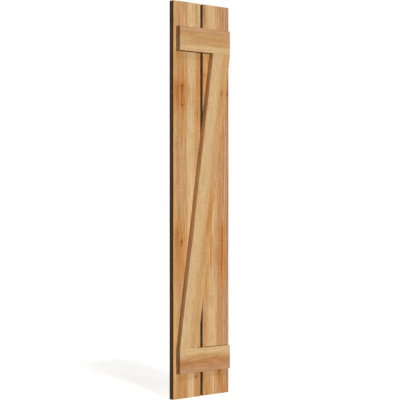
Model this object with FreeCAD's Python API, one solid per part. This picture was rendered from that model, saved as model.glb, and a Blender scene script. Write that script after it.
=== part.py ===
import FreeCAD, Part
import math
import os

# A spaced board and batten shutter with a diagonal brace. Two upright boards stand side by side
# against the wall, two level battens cross their fronts, and a brace runs between the battens
# from the lower left corner to the upper right one.
# Millimetres. +X runs to the viewer's right, +Z up, and the front faces -Y. The origin is the
# middle of the left board's back face, which lies flat on the wall.

# Upright boards
board_width = 136.5
board_thickness = 20.5
board_height = 1440.0
board_gap = 12.7

# Level battens: the margin is from the boards' ends to a batten, the inset from the boards'
# outer edges to a batten's ends
batten_width = 88.0
batten_thickness = 20.5
batten_margin = 92.0
batten_end_inset = 13.0

# Diagonal brace, as thick as the battens so that their fronts are flush
brace_width = 88.0

# Radius of the eased edges that run along the grain of every piece
edge_ease = 0.8

# Places that follow from the sizes above
board_pitch = board_width + board_gap
board_top = board_height / 2
batten_left = -board_width / 2 + batten_end_inset
batten_right = board_pitch + board_width / 2 - batten_end_inset
batten_length = batten_right - batten_left
batten_outer = board_top - batten_margin
batten_inner = batten_outer - batten_width

upright = FreeCAD.Vector(0, 0, 1)
level = FreeCAD.Vector(1, 0, 0)
same_direction = 1e-6


def rectangle(left, right, bottom, top):
    """Corners of an upright rectangle, counted round from the lower left."""
    return [(left, bottom), (right, bottom), (right, top), (left, top)]


def flat_piece(corners, back, thickness, grain):
    """Stock cut to an outline, standing forward from its back, with its edges eased along the grain."""
    outline = Part.makePolygon([FreeCAD.Vector(x, back, z) for x, z in corners], True)
    piece = Part.Face(outline).extrude(FreeCAD.Vector(0, -thickness, 0))
    arrises = [edge for edge in piece.Edges if edge.Curve.Direction.cross(grain).Length < same_direction]
    return piece.makeFillet(edge_ease, arrises)


def upright_board(column):
    """One of the two boards, counted from the left."""
    left = column * board_pitch - board_width / 2
    outline = rectangle(left, left + board_width, -board_top, board_top)
    return flat_piece(outline, 0, board_thickness, upright)


def level_batten(bottom):
    """A batten across the fronts of both boards, from the height of its lower edge."""
    outline = rectangle(batten_left, batten_right, bottom, bottom + batten_width)
    return flat_piece(outline, -board_thickness, batten_thickness, level)


def corner_brace():
    """The brace, leaned so that its level ends seat on the battens right into opposite corners."""
    clear_height = 2 * batten_inner
    diagonal = math.hypot(batten_length, clear_height)
    lean = math.acos(brace_width / diagonal) - math.atan2(clear_height, batten_length)
    seat = brace_width / math.cos(lean)
    outline = [
        (batten_left, -batten_inner),
        (batten_left + seat, -batten_inner),
        (batten_right, batten_inner),
        (batten_right - seat, batten_inner),
    ]
    grain = FreeCAD.Vector(math.sin(lean), 0, math.cos(lean))
    return flat_piece(outline, -board_thickness, batten_thickness, grain)


shutter = {
    "left_board": upright_board(0),
    "right_board": upright_board(1),
    "top_batten": level_batten(batten_inner),
    "bottom_batten": level_batten(-batten_outer),
    "diagonal_brace": corner_brace(),
}

os.makedirs("parts", exist_ok=True)
for node, solid in shutter.items():
    solid.exportStep("parts/" + node + ".step")
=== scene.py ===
import math

import bmesh
import bpy
import numpy as np
from mathutils import Matrix, Vector


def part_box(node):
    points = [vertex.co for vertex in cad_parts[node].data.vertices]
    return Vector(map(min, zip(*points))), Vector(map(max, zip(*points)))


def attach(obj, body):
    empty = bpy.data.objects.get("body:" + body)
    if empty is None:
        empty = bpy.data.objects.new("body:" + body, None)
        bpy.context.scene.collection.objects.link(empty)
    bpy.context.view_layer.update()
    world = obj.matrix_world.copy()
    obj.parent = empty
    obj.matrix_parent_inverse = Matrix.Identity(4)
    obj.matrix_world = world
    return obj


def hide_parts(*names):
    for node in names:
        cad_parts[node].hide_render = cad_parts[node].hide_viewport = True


# A spaced shutter of bare cedar, dressed round its CAD frame. Each piece of wood is shaped in
# millimetres, with its grain along z and its front towards -y, and is then put in its place.
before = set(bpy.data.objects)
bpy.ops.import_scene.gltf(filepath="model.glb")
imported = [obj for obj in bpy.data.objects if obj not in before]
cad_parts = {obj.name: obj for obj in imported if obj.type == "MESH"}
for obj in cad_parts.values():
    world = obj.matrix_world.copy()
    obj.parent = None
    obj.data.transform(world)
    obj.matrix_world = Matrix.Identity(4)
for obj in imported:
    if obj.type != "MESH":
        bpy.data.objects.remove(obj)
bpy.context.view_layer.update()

MM = 0.001

# Sizes of the shutter, read from the frame, in millimetres. The brace's seat is the length of its
# foot, which is all of it that is this near to the bottom batten's top.
foot_reach = 0.01
board_low, board_high = (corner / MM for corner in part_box("left_board"))
right_low, right_high = (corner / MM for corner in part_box("right_board"))
top_low, top_high = (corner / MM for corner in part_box("top_batten"))
bottom_low, bottom_high = (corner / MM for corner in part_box("bottom_batten"))
board_size = board_high - board_low
batten_size = top_high - top_low
middle_x = (board_low.x + right_high.x) / 2
clear_height = top_low.z - bottom_high.z
brace_foot = [
    vertex.co.x / MM
    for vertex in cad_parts["diagonal_brace"].data.vertices
    if abs(vertex.co.z / MM - bottom_high.z) < foot_reach
]
brace_seat = max(brace_foot) - min(brace_foot)
brace_lean = math.atan2(batten_size.x - brace_seat, clear_height)
brace_width = brace_seat * math.cos(brace_lean)

# The photograph's camera. The angle is between its line of sight and straight at the front, and
# the reach and the aside place the left board's front edge before it. The lens is in millimetres
# on the default sensor.
camera_angle = math.radians(44.8786)
camera_reach = 4947.99
camera_aside = -95.624
camera_lens = 123.646

# The studio: the floor's reach in metres, how white the surround and the floor are where they are
# looked at, and how little light they throw on the shutter
floor_reach = 30
surround_white = 1
surround_throw = 0.03
floor_glow = 0.72
floor_white = 0.8
floor_throw = 0.15

# How finely the wood is cut into faces, the eased radius of its edges, the shortest edge that a
# cut leaves, and the angles from which an edge is a corner to ease and from which it is drawn sharp
cell_across = 2.4
cell_deep = 2.1
cell_along = 3.0
edge_ease = 0.4
smallest_edge = 0.15
corner_angle = math.radians(45)
sharp_angle = math.radians(40)

# Countersunk screws in the back: the head's width and depth, how far it is set below the wood and
# the room round it, the shank's width where the head ends, and the driver's square recess, which
# narrows inwards. A cut starts a little outside what it cuts.
head_width = 8.2
head_depth = 2.8
head_set = 0.5
head_clearance = 0.15
shank_width = 4.2
drive_width = 2.9
drive_depth = 1.7
cut_start = 0.5
round_sides = 24
square_sides = 4

# Where the screws are: two through each crossing of a board and a batten, set cornerwise, and two
# through each board on the brace's middle line, at these distances from the shutter's middle height
screw_aside = 36
screw_rise = 21
brace_screws = (180, 420)

# Countersinks keep smooth walls. These are the sloped faces not far in from the back and away from
# the piece's sides.
countersink_reach = 6
countersink_slope = 0.1
side_margin = 3
on_face = 0.01

# Relief of the wood, below its true faces. The saw's strokes lie slanted and a little bowed across
# a piece, and leave a ripple that comes and goes with a slow swell. Eased edges have knocks, where
# several waves rise together. Every wave's length is for one radian of it.
ripple_depth = 0.1
swell_depth = 0.1
knock_depth = 0.6
stroke_slant = 0.07
stroke_bow = 5
bow_length = 45
ripple_length = 2.3
ripple_drift = 1.5
drift_length = 37
swell_along = 83
swell_across = 57
knock_lengths = (7.3, 11.9, 23.7)
knock_limit = 1.7
eased_slope = 0.2

# Growth of the wood. The grain strays in waves of (how far, length along, length across). Round a
# knot it bends, over a reach across and along, and is stained: (tone, strength, reach across, reach
# along). Those reaches are in radii of the knot. The margins of a streak are soft over a share of
# its width or length, up to a limit. The taper is how far rings spread for each step along the log.
grain_waves = [(3, 190, 90), (1.6, 71, -60), (0.7, 29, 33)]
knot_bend = (2.2, 4.2)
knot_stains = [("rust", 0.75, 3.5, 9), ("rust", 0.8, 3, 1.1), ("umber", 0.6, 0.9, 4)]
no_knot = 9.0
soft_across_share = 0.8
soft_along_share = 0.6
soft_across_limit = 18
soft_along_limit = 130
log_taper = 0.004

# A face is an end or an edge of the piece where its normal leans that way by more than this. Ends
# take a share of the plainer brown of end grain.
facing = 0.8
end_dullness = 0.55

# Figure of each piece of cedar. Across is measured from the left edge of a board or of the
# brace, and from the top edge of a batten; along is measured from the middle, up or to the right.
# The pith is the log's centre, across and behind the front face. The contrast is how strongly the
# grain shows, and the edge is a painted shade multiplied into its narrow edges: white paints none.
# The offset is how far up its log it was cut, so that no two pieces share a figure.
# A streak is (tone, from across, to across, from along, to along, strength), and -whole to whole is
# all along the piece.
# A knot is (across, along, radius, side), with its dark rim on the upper side or the lower one.
whole = 2000
figures = {
    "left_board": {
        "pith": (-70, 95),
        "ring_width": 2.3,
        "contrast": 1,
        "edge": "A6A9B8",
        "offset": 0,
        "streaks": [
            ("honey", -20, 11, -whole, 640, 0.9),
            ("honey", -20, 10, 600, whole, 0.4),
            ("rose", 10, 34, -whole, whole, 0.4),
            ("rust", 24, 30, -whole, whole, 0.35),
            ("honey", 50, 57, -whole, whole, 0.4),
            ("rust", 38, 50, 190, 540, 0.82),
            ("rust", -1, 66, 300, 460, 0.65),
            ("rust", -1, 46, 440, 560, 0.42),
            ("umber", 34, 46, 440, 560, 0.28),
            ("rust", 6, 32, 310, 440, 0.6),
            ("umber", 6, 32, 320, 430, 0.46),
            ("rust", -1, 56, -310, -50, 0.6),
            ("rust", 6, 32, -240, -70, 0.6),
            ("umber", 6, 30, -230, -90, 0.48),
            ("umber", 41, 45.4, 335, 425, 0.85),
            ("rust", 37, 48, -290, -40, 0.65),
            ("cream", 70, 108, -whole, whole, 0.95),
            ("rust", 64, 114, 335, 430, 0.4),
            ("honey", 106, 150, 220, 570, 0.6),
            ("rust", 108, 150, 230, 560, 0.55),
            ("rust", 103, 130, -770, -590, 0.65),
            ("cream", 122, 150, 590, whole, 0.7),
            ("rust", 12, 72, -770, -600, 0.5),
        ],
        "knots": [(43, 411, 6.3, 1), (43, 348, 6.3, -1), (42, -155, 6.3, 1), (117, -648, 3.8, 1)],
    },
    "right_board": {
        "pith": (240, 110),
        "ring_width": 2.6,
        "contrast": 1.25,
        "edge": "B4BEC6",
        "offset": 3100,
        "streaks": [
            ("rose", -20, 6, -whole, whole, 0.7),
            ("rust", 5, 14, -whole, whole, 0.35),
            ("rust", 2, 15, -600, -390, 0.55),
            ("umber", 4, 13, 630, 740, 0.6),
            ("honey", 0, 50, 330, 560, 0.9),
            ("rust", -20, 30, 330, 560, 0.45),
            ("rust", -20, 24, 370, 460, 0.65),
            ("cream", 20, 36, -whole, whole, 0.5),
            ("cream", 38, 67, -whole, whole, 0.52),
            ("cream", 30, 72, -600, -340, 0.66),
            ("cream", 54, 78, -440, -300, 0.6),
            ("cream", 60, 76, -90, 0, 0.5),
            ("cream", 28, 62, 600, whole, 0.8),
            ("cream", 56, 96, 600, whole, 0.45),
            ("honey", 16, 60, -350, 0, 0.55),
            ("rust", 78, 112, -whole, whole, 0.4),
            ("rust", 10, 34, -380, -200, 0.45),
            ("rust", 34, 64, -260, -110, 0.58),
            ("rust", 82, 120, -340, -60, 0.8),
            ("umber", 24, 38, -290, -170, 0.33),
            ("umber", 50, 60, -290, -30, 0.25),
            ("umber", 96, 107, -280, -110, 0.5),
            ("rust", 80, 115, -770, -590, 0.65),
            ("rust", 58, 65, -770, -590, 0.5),
            ("rust", -20, 43, -800, -650, 0.55),
            ("rust", -20, 16, -800, -600, 0.6),
            ("rose", 72, 104, -whole, whole, 0.5),
            ("rose", 100, 150, -whole, whole, 0.55),
            ("rose", 68, 150, 600, whole, 0.95),
            ("rose", 122, 150, -whole, -300, 0.85),
            ("rust", 116, 150, -300, whole, 0.4),
            ("rust", 104, 150, -800, -620, 0.5),
            ("rust", 119, 123, -whole, whole, 0.6),
            ("umber", 128, 150, -330, 500, 0.45),
        ],
        "knots": [(89, -636, 6.4, 1), (133, 395, 4.6, 1), (9, 458, 3, -1)],
    },
    "top_batten": {
        "pith": (-40, 70),
        "ring_width": 2.4,
        "contrast": 0.6,
        "edge": "B8A993",
        "offset": 6200,
        "streaks": [
            ("rose", -20, 16, -whole, whole, 0.5),
            ("rust", 20, 29, -150, -45, 0.5),
            ("rust", 30, 39, -65, 150, 0.5),
            ("rust", 50, 61, -whole, whole, 0.12),
            ("cream", 30, 64, -whole, -65, 0.5),
            ("cream", 62, 120, -whole, whole, 0.9),
        ],
        "knots": [],
    },
    "bottom_batten": {
        "pith": (150, 80),
        "ring_width": 2.4,
        "contrast": 0.7,
        "edge": "B8A993",
        "offset": 9300,
        "streaks": [
            ("cream", -20, 28, -whole, whole, 0.9),
            ("cream", 20, 36, -whole, -60, 0.5),
            ("cream", 20, 40, 70, whole, 0.6),
            ("rust", 20, 36, -40, 55, 0.3),
            ("rust", 37, 74, -whole, whole, 0.5),
            ("umber", 40, 66, -whole, whole, 0.25),
            ("umber", 43, 48, -70, 90, 0.45),
            ("rose", 45, 120, -whole, whole, 0.9),
            ("rust", 60, 120, -whole, whole, 0.25),
        ],
        "knots": [],
    },
    "diagonal_brace": {
        "pith": (-60, 85),
        "ring_width": 2.5,
        "contrast": 0.8,
        "edge": "FFFFFF",
        "offset": 12400,
        "streaks": [
            ("cream", -20, 47, -whole, whole, 0.85),
            ("cream", 38, 66, -whole, whole, 0.4),
            ("honey", -20, 60, -190, 110, 0.5),
            ("rust", -20, 8, -230, whole, 0.35),
            ("umber", -60, -5, -whole, -270, 0.35),
            ("rust", 60, 90, -140, 40, 0.7),
            ("rust", 58, 86, -270, -110, 0.35),
            ("rust", 56, 84, 290, 450, 0.4),
            ("honey", 60, 100, -whole, whole, 0.36),
            ("cream", 80, 100, -560, -130, 0.5),
        ],
        "knots": [(68, 402, 3.2, 1)],
    },
}
# Shades of the tones, in the order in which they are laid over each other
tones = {"rose": "BB8E69", "honey": "D8A566", "cream": "D4B080", "rust": "BF7F42", "umber": "9A5C2C"}


def linear(colour):
    """A colour written as sRGB hex, as linear red, green, blue and alpha."""
    parts = [int(colour[i:i + 2], 16) / 255 for i in (0, 2, 4)]
    return [p / 12.92 if p <= 0.04045 else ((p + 0.055) / 1.055) ** 2.4 for p in parts] + [1]


def node(tree, kind, inputs=None, **settings):
    """Adds a node with its settings and inputs. A node as an input means its first live output."""
    made = tree.nodes.new("ShaderNode" + kind)
    for name, value in settings.items():
        setattr(made, name, value)
    for name, value in (inputs or {}).items():
        if isinstance(value, bpy.types.Node):
            value = next(socket for socket in value.outputs if socket.enabled)
        if isinstance(value, bpy.types.NodeSocket):
            tree.links.new(value, made.inputs[name])
        else:
            made.inputs[name].default_value = value
    return made


def new_material(name):
    """An empty material and its node tree."""
    material = bpy.data.materials.new(name)
    material.use_nodes = True
    material.node_tree.nodes.clear()
    return material, material.node_tree


def smooth_step(value):
    """Nought up to nought, one from one on, and a smooth rise between."""
    value = np.clip(value, 0, 1)
    return value * value * (3 - 2 * value)


def band(value, low, high, soft):
    """One between two limits, falling smoothly to nothing over a soft margin at each."""
    return smooth_step((value - low) / soft + 0.5) * smooth_step((high - value) / soft + 0.5)


def round_knot(aside, above, reach_across, reach_along):
    """One in the middle of a knot, falling away over its reach each way."""
    return np.exp(-(aside / reach_across) ** 2 - (above / reach_along) ** 2)


def grow(points, figure):
    """What grew at each point of a piece: its ring, its tones and its nearest knot."""
    across, depth, along = points.T
    pith_across, pith_behind = figure["pith"]
    phase = figure["offset"]
    grown = {tone: np.zeros(len(points)) for tone in tones}
    lay = across
    for turn, (stray, length_along, length_across) in enumerate(grain_waves, 1):
        lay = lay + stray * np.sin(along / length_along + across / length_across + turn * phase)
    knot = np.full((len(points), 3), no_knot)
    for knot_across, knot_along, radius, side in figure["knots"]:
        aside = (across - knot_across) / radius
        above = (along - knot_along) / radius * side
        lay = lay - radius * aside * round_knot(aside, above, *knot_bend)
        for tone, strength, reach_across, reach_along in knot_stains:
            stain = strength * round_knot(aside, above, reach_across, reach_along)
            grown[tone] = np.maximum(grown[tone], stain)
        near = np.hypot(aside, above) < np.hypot(knot[:, 0], knot[:, 1])
        knot[near, 0] = aside[near]
        knot[near, 1] = above[near]
        knot[near, 2] = 0

    # A streak keeps to its rings all through the piece, from where they meet the front
    from_pith = np.hypot(lay - pith_across, depth - pith_behind)
    outward = np.sign(np.mean(across) - pith_across)
    at_front = pith_across + outward * np.sqrt(np.maximum(from_pith ** 2 - pith_behind ** 2, 0))
    for tone, left, right, start, end, strength in figure["streaks"]:
        soft_across = min(soft_across_limit, soft_across_share * (right - left))
        soft_along = min(soft_along_limit, soft_along_share * (end - start))
        streak = strength * band(at_front, left, right, soft_across) * band(along, start, end, soft_along)
        grown[tone] = np.maximum(grown[tone], streak)
    grown["ring"] = (from_pith + along * log_taper) / figure["ring_width"]
    grown["contrast"] = np.full(len(points), figure["contrast"])
    return grown, knot


def sawn_relief(points, normals, figure):
    """How far the saw and wear left the wood below its true faces, in millimetres."""
    across, depth, along = points.T
    phase = figure["offset"]
    stroke = along + stroke_slant * across + stroke_bow * np.sin(across / bow_length + phase)
    ripple = 0.5 + 0.5 * np.sin(stroke / ripple_length + ripple_drift * np.sin(stroke / drift_length))
    swell = 0.5 + 0.5 * np.sin(along / swell_along + across / swell_across + phase)
    relief = ripple_depth * ripple * swell + swell_depth * swell
    on_edge = np.minimum(abs(normals[:, 0]), abs(normals[:, 1])) > eased_slope
    short, middling, long = (along / length for length in knock_lengths)
    knock = np.sin(short + phase) + np.sin(middling + across) + np.sin(long + depth)
    return relief + on_edge * knock_depth * smooth_step(knock - knock_limit)


def mesh_from(name, bm):
    """A mesh made from a finished bmesh."""
    mesh = bpy.data.meshes.new(name)
    bm.to_mesh(mesh)
    bm.free()
    return mesh


def new_piece(name, mesh, material):
    """A piece of the shutter, in its place, that rides on the one body."""
    mesh.materials.append(material)
    piece = bpy.data.objects.new(name, mesh)
    bpy.context.scene.collection.objects.link(piece)
    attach(piece, "root")
    return piece


def cut_away(mesh, cutters):
    """A copy of a mesh with the cutters' solids taken out of it."""
    work = bpy.data.objects.new("work", mesh)
    tool = bpy.data.objects.new("tool", mesh_from("tool", cutters))
    for thing in (work, tool):
        bpy.context.scene.collection.objects.link(thing)
    cut = work.modifiers.new("cut", "BOOLEAN")
    cut.object = tool
    result = bpy.data.meshes.new_from_object(work.evaluated_get(bpy.context.evaluated_depsgraph_get()))
    for thing in (work, tool):
        bpy.data.objects.remove(thing)
    return result


def add_cone(bm, spot, back_width, front_width, back, front, sides):
    """Adds a cone through the back at a spot (x, z), from a depth at the back to one further in."""
    x, z = spot
    middle = Matrix.Translation((x, -(back + front) / 2, z))
    bmesh.ops.create_cone(
        bm,
        cap_ends=True,
        segments=sides,
        radius1=front_width / 2,
        radius2=back_width / 2,
        depth=front - back,
        matrix=middle @ Matrix.Rotation(-math.pi / 2, 4, "X"),
    )


def sawn_stock(width, thickness, length):
    """A bar of stock with its grain along z and its front at -y, in small faces, with eased edges."""
    no_length = 1e-6
    bm = bmesh.new()
    bmesh.ops.create_cube(bm, size=1)
    bmesh.ops.scale(bm, vec=(width, thickness, length), verts=bm.verts)
    bmesh.ops.translate(bm, vec=(0, -thickness / 2, 0), verts=bm.verts)
    for axis, size, cell in ((2, length, cell_along), (0, width, cell_across), (1, thickness, cell_deep)):
        edges = [e for e in bm.edges if abs((e.verts[0].co - e.verts[1].co)[axis]) > no_length]
        bmesh.ops.subdivide_edges(bm, edges=edges, cuts=round(size / cell) - 1)
    corners = [e for e in bm.edges if e.calc_face_angle(0) > corner_angle]
    bmesh.ops.bevel(
        bm, geom=corners, offset=edge_ease, segments=2, profile=0.5, affect="EDGES", material=-1
    )
    return bm


def in_order(parts, place):
    """Puts points or faces in order of their places, because a cut leaves them in no fixed order."""
    for index, part in enumerate(sorted(parts, key=place)):
        part.index = index
    parts.sort()


def draw_figure(mesh, points, figure):
    """Writes into a mesh what the cedar reads: figure by points, ends and painted edge shade by faces."""
    grown, knot = grow(points, figure)
    for key, values in grown.items():
        mesh.attributes.new(key, "FLOAT", "POINT").data.foreach_set("value", values.astype(np.float32))
    stock = points + (0, 0, figure["offset"])
    for key, values in (("stock", stock), ("knot", knot)):
        attribute = mesh.attributes.new(key, "FLOAT_VECTOR", "POINT")
        attribute.data.foreach_set("vector", values.astype(np.float32).ravel())
    ends = [end_dullness * (abs(face.normal.z) > facing) for face in mesh.polygons]
    mesh.attributes.new("end_grain", "FLOAT", "FACE").data.foreach_set("value", ends)
    # Narrow edges get a painted shade: their colour is multiplied by the figure's edge tone
    painted_edge_shade = linear(figure["edge"])
    no_painted_shade = linear("FFFFFF")
    edges = [painted_edge_shade if abs(face.normal.x) > facing else no_painted_shade for face in mesh.polygons]
    mesh.attributes.new("edge_painted_shade", "FLOAT_COLOR", "FACE").data.foreach_set("color", np.ravel(edges))


def add_wood(node_name, mesh, place, width, thickness, material):
    """Finishes a piece of stock: its figure, its sawn faces, its place, and the node it stands for."""
    figure = figures[node_name]
    corner = np.array((width / 2, thickness, 0))
    points = np.empty(len(mesh.vertices) * 3, np.float32)
    mesh.vertices.foreach_get("co", points)
    points = points.reshape(-1, 3) + corner
    normals = np.empty(len(mesh.vertices) * 3, np.float32)
    mesh.vertices.foreach_get("normal", normals)
    normals = normals.reshape(-1, 3)
    draw_figure(mesh, points, figure)
    relief = sawn_relief(points, normals, figure)
    to_back = thickness - points[:, 1]
    to_side = width / 2 - abs(points[:, 0] - width / 2)
    countersunk = (to_back > on_face) & (to_back < countersink_reach) & (to_side > side_margin)
    relief[countersunk & (abs(normals[:, 1]) > countersink_slope)] = 0
    moved = points - corner - normals * relief[:, None]
    mesh.vertices.foreach_set("co", moved.astype(np.float32).ravel())
    mesh.transform(Matrix.Scale(MM, 4) @ place)
    mesh.shade_smooth()
    mesh.set_sharp_from_angle(angle=sharp_angle)
    piece = new_piece(node_name + "_wood", mesh, material)
    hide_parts(node_name)


def sawn_cedar():
    """Western red cedar, sawn and left bare: matt, pale tan, with streaks from cream to rust."""
    material, tree = new_material("sawn_red_cedar")
    stock = node(tree, "Attribute", attribute_name="stock")
    ring = node(tree, "Attribute", attribute_name="ring")
    knot = node(tree, "Attribute", attribute_name="knot")

    def cloudy(across_mm, along_mm, detail):
        """Noise whose patches have a real size across the grain and along it."""
        stretch = (1 / across_mm, 1 / across_mm, 1 / along_mm)
        place = node(tree, "VectorMath", {0: stock, 1: stretch}, operation="MULTIPLY")
        return node(tree, "TexNoise", {"Vector": place, "Scale": 1, "Detail": detail, "Roughness": 0.6})

    def added(patterns, start):
        """Each pattern times its depth, added to a start. Minus half the depths makes the mean nought."""
        total = start
        for pattern, depth in patterns:
            total = node(tree, "Math", {0: pattern, 1: depth, 2: total}, operation="MULTIPLY_ADD")
        return total

    # Cedar's fibres and the saw's teeth are too fine to show, so both are drawn several times coarser
    fibre = cloudy(0.8, 30, 2)
    saw = cloudy(40, 1.6, 2)
    fleck = cloudy(5, 8, 2)
    narrow = cloudy(4.5, 75, 3)
    broad = cloudy(11, 170, 3)
    cloud = cloudy(34, 60, 2)

    # Rings run true but not evenly: some years are darker, and each ends in a line of late wood
    ring = added([(broad, 3)], ring)
    years = added([(ring, 0.4)], 0)
    years = node(tree, "TexNoise", {"W": years, "Scale": 1, "Detail": 2}, noise_dimensions="1D")
    year_part = node(tree, "Math", {0: ring}, operation="FRACT")
    late = node(tree, "MapRange", {0: year_part, 1: 0.45, 2: 0.95}, interpolation_type="SMOOTHSTEP")

    # Heartwood between olive and pink, with the streaks of other tones that grew in it
    warm = node(tree, "MapRange", {0: broad, 1: 0.3, 2: 0.7})
    colour = node(tree, "Mix", {0: warm, 6: linear("BC965E"), 7: linear("CE9A6C")}, data_type="RGBA")
    ragged = added([(broad, 0.5), (narrow, 0.6), (years, 0.4)], -0.75)
    for tone, shade in tones.items():
        streak = added([(ragged, 1)], node(tree, "Attribute", attribute_name=tone))
        streak = node(tree, "MapRange", {0: streak, 1: 0.05, 2: 0.95}, interpolation_type="SMOOTHSTEP")
        colour = node(tree, "Mix", {0: streak, 6: colour, 7: linear(shade)}, data_type="RGBA")

    # A knot is a dark oval with a paler heart set low in it, and neither has a clean edge: how far
    # each is off the knot's middle, where it starts and where it is full, in radii, and its shade
    ovals = [
        ((0, 0, 0), 1.3, 0.7, "884A1C"),
        ((-0.2, 0.75, 0), 1.1, 0.3, "B97C46"),
    ]
    for off, outer, inner, shade in ovals:
        oval = node(tree, "VectorMath", {0: knot, 1: off}, operation="ADD")
        oval = node(tree, "VectorMath", {0: oval, 1: (1, 0.75, 1)}, operation="MULTIPLY")
        oval = node(tree, "VectorMath", {0: oval}, operation="LENGTH")
        oval = added([(fleck, 0.8), (narrow, 0.8)], added([(oval, 1)], -0.8))
        oval = node(tree, "MapRange", {0: oval, 1: outer, 2: inner}, interpolation_type="SMOOTHSTEP")
        colour = node(tree, "Mix", {0: oval, 6: colour, 7: linear(shade)}, data_type="RGBA")

    # Grain is more or less of one brown pigment, which takes most from blue and least from red
    pigment = added([(years, 0.6), (narrow, 0.9), (fibre, 0.3), (late, 0.3)], -1.05)
    contrast = node(tree, "Attribute", attribute_name="contrast")
    pigment = node(tree, "Math", {0: pigment, 1: contrast}, operation="MULTIPLY")
    pigment = added([(saw, 0.15), (fleck, 0.75), (cloud, 0.3)], added([(pigment, 1)], -0.55))
    held = node(tree, "Gamma", {"Color": linear("C3A984"), "Gamma": pigment})
    colour = node(tree, "Mix", {0: 1, 6: colour, 7: held}, data_type="RGBA", blend_type="MULTIPLY")

    # Narrow edges take a painted shade, and end grain is a plainer brown
    painted_edge_shade = node(tree, "Attribute", attribute_name="edge_painted_shade")
    colour = node(tree, "Mix", {0: 1, 6: colour, 7: painted_edge_shade}, data_type="RGBA", blend_type="MULTIPLY")
    end = node(tree, "Attribute", attribute_name="end_grain").outputs["Fac"]
    colour = node(tree, "Mix", {0: end, 6: colour, 7: linear("B08E68")}, data_type="RGBA")

    bump = node(tree, "Bump", {"Height": added([(fibre, 1)], saw), "Strength": 0.25, "Distance": 0.0003})
    shader = node(tree, "BsdfPrincipled", {
        "Base Color": colour,
        "Roughness": 0.85,
        "Specular IOR Level": 0.12,
        "Normal": bump,
    })
    node(tree, "OutputMaterial", {"Surface": shader})
    return material


def zinc_steel():
    """Zinc-plated steel of the screws: mid grey and satin."""
    material, tree = new_material("zinc_plated_steel")
    shader = node(tree, "BsdfPrincipled", {
        "Base Color": linear("74726C"),
        "Metallic": 1,
        "Roughness": 0.55,
    })
    node(tree, "OutputMaterial", {"Surface": shader})
    return material


def screw_places():
    """Where the screws of each board are, as (x, z)."""
    spots = {"left_board": [], "right_board": []}
    for name, low in (("left_board", board_low), ("right_board", right_low)):
        middle = low.x + board_size.x / 2
        for batten_z in ((top_low.z + top_high.z) / 2, (bottom_low.z + bottom_high.z) / 2):
            for turn in (1, -1):
                spots[name].append((middle + turn * screw_aside, batten_z + turn * screw_rise))
    for height in brace_screws:
        for name, end in (("left_board", -1), ("right_board", 1)):
            spots[name].append((middle_x + end * height * math.tan(brace_lean), end * height))
    return spots


def upright_boards(cedar, screw_spots):
    """The two boards, countersunk in their backs for the screws."""
    for name, low in (("left_board", board_low), ("right_board", right_low)):
        middle = low.x + board_size.x / 2
        countersinks = bmesh.new()
        for x, z in screw_spots[name]:
            add_cone(
                countersinks, (x - middle, z), head_width + 2 * head_clearance, shank_width,
                -cut_start, head_set + head_depth + head_clearance, round_sides,
            )
        mesh = cut_away(mesh_from(name + "_wood", sawn_stock(*board_size)), countersinks)
        place = Matrix.Translation((middle, 0, 0))
        add_wood(name, mesh, place, board_size.x, board_size.y, cedar)


def level_battens(cedar):
    """The two battens, laid across the fronts of the boards."""
    for name, low in (("top_batten", top_low), ("bottom_batten", bottom_low)):
        mesh = mesh_from(name + "_wood", sawn_stock(batten_size.z, batten_size.y, batten_size.x))
        middle = Vector((middle_x, board_low.y, low.z + batten_size.z / 2))
        place = Matrix.Translation(middle) @ Matrix.Rotation(math.pi / 2, 4, "Y")
        add_wood(name, mesh, place, batten_size.z, batten_size.y, cedar)


def corner_brace(cedar):
    """The brace, leaned between the battens, with its ends cut level where they seat."""
    stock = sawn_stock(brace_width, batten_size.y, clear_height + brace_width)
    lean = Matrix.Rotation(brace_lean, 4, "Y")
    upright = lean.inverted() @ Vector((0, 0, 1))
    for end in (1, -1):
        cut = bmesh.ops.bisect_plane(
            stock,
            geom=stock.verts[:] + stock.edges[:] + stock.faces[:],
            dist=smallest_edge,
            plane_co=upright * clear_height / 2 * end,
            plane_no=upright * end,
            use_snap_center=True,
            clear_outer=True,
        )
        rim = [part for part in cut["geom_cut"] if isinstance(part, bmesh.types.BMEdge)]
        cap = bmesh.ops.holes_fill(stock, edges=rim, sides=0)["faces"]
        bmesh.ops.triangulate(stock, faces=cap, ngon_method="BEAUTY")
    in_order(stock.verts, lambda vertex: vertex.co[:])
    in_order(stock.faces, lambda face: face.calc_center_median()[:])
    mesh = mesh_from("diagonal_brace_wood", stock)
    place = Matrix.Translation((middle_x, board_low.y, 0)) @ lean
    add_wood("diagonal_brace", mesh, place, brace_width, batten_size.y, cedar)


def back_screws(screw_spots):
    """The screws that hold the battens and the brace, with their heads just below the backs."""
    head_end = head_set + head_depth
    heads = bmesh.new()
    drives = bmesh.new()
    for spot in screw_spots["left_board"] + screw_spots["right_board"]:
        add_cone(heads, spot, head_width, shank_width, head_set, head_end, round_sides)
        add_cone(
            drives, spot, drive_width * math.sqrt(2), drive_width,
            head_set - cut_start, head_set + drive_depth, square_sides,
        )
    screws = cut_away(mesh_from("back_screws", heads), drives)
    screws.transform(Matrix.Scale(MM, 4))
    new_piece("back_screws", screws, zinc_steel())


def even_light(name, towards, spread, level):
    """A broad light, spread by some degrees each way. At level 1 a face towards it shows its own colour."""
    lamp = bpy.data.lights.new(name, "SUN")
    lamp.energy = math.pi * level
    lamp.angle = math.radians(2 * spread)
    light = bpy.data.objects.new(name, lamp)
    light.rotation_mode = "QUATERNION"
    light.rotation_quaternion = Vector(towards).to_track_quat("-Z", "Y")
    bpy.context.scene.collection.objects.link(light)


def seen_directly(tree):
    """One where the surround is looked at, straight or in a reflection, and nought where it lights."""
    path = node(tree, "LightPath")
    seen = path.outputs["Is Camera Ray"]
    for ray in ("Is Glossy Ray", "Is Transmission Ray"):
        seen = node(tree, "Math", {0: seen, 1: path.outputs[ray]}, operation="MAXIMUM")
    return seen


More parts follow.
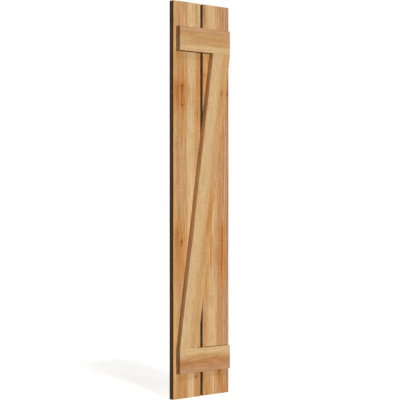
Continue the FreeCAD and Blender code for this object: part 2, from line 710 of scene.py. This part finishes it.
def studio():
    """Pale floor, white surround and soft lights."""
    scene = bpy.context.scene
    scene.view_settings.view_transform = "Standard"
    world = bpy.data.worlds.new("white_surround")
    scene.world = world
    world.use_nodes = True
    tree = world.node_tree
    tree.nodes.clear()
    strength = node(tree, "MapRange", {0: seen_directly(tree), 3: surround_throw, 4: surround_white})
    background = node(tree, "Background", {"Color": linear("FFFFFF"), "Strength": strength})
    node(tree, "OutputWorld", {"Surface": background})

    bm = bmesh.new()
    bmesh.ops.create_grid(bm, x_segments=1, y_segments=1, size=floor_reach)
    bmesh.ops.translate(bm, vec=(0, 0, board_low.z * MM), verts=bm.verts)
    mesh = mesh_from("floor", bm)
    floor = bpy.data.objects.new("floor", mesh)
    scene.collection.objects.link(floor)

    # White paper: matt, and white where it is looked at, yet it keeps the shutter's shadow
    paper, tree = new_material("white_paper")
    seen = seen_directly(tree)
    strength = node(tree, "MapRange", {0: seen, 3: 0, 4: floor_glow})
    glow = node(tree, "Emission", {"Color": linear("FFFFFF"), "Strength": strength})
    tint = node(tree, "MapRange", {0: seen, 3: floor_throw, 4: floor_white})
    matt = node(tree, "BsdfDiffuse", {"Color": tint})
    both = node(tree, "AddShader", {0: glow, 1: matt})
    node(tree, "OutputMaterial", {"Surface": both})
    mesh.materials.append(paper)

    # As the photograph's shadows show, the front light is nearly level and a fainter one is above it,
    # both a little to the left. Each light shines a little downwards, so the floor blocks none.
    even_light("front_light", (0.135, 1, -0.052), 3, 0.81)
    even_light("upper_light", (0.44, 1, -1.29), 3, 0.226)
    even_light("right_light", (-1, 0, -0.14), 8, 0.45)
    even_light("back_light", (-0.2, -1, -0.14), 8, 0.8)


def photograph_camera():
    """The photograph's view: level, turned to the shutter's left, at its middle height."""
    data = bpy.data.cameras.new("photograph_camera")
    data.lens = camera_lens
    camera = bpy.data.objects.new("photograph_camera", data)
    sine = math.sin(camera_angle)
    cosine = math.cos(camera_angle)
    right = -camera_aside * cosine - camera_reach * sine
    out = -camera_aside * sine + camera_reach * cosine
    camera.location = Vector((board_low.x + right, board_low.y - out, 0)) * MM
    camera.rotation_mode = "QUATERNION"
    camera.rotation_quaternion = Vector((sine, cosine, 0)).to_track_quat("-Z", "Y")
    bpy.context.scene.collection.objects.link(camera)
    bpy.context.scene.camera = camera


cedar = sawn_cedar()
screw_spots = screw_places()
upright_boards(cedar, screw_spots)
level_battens(cedar)
corner_brace(cedar)
back_screws(screw_spots)
studio()
photograph_camera()

bpy.context.view_layer.update()
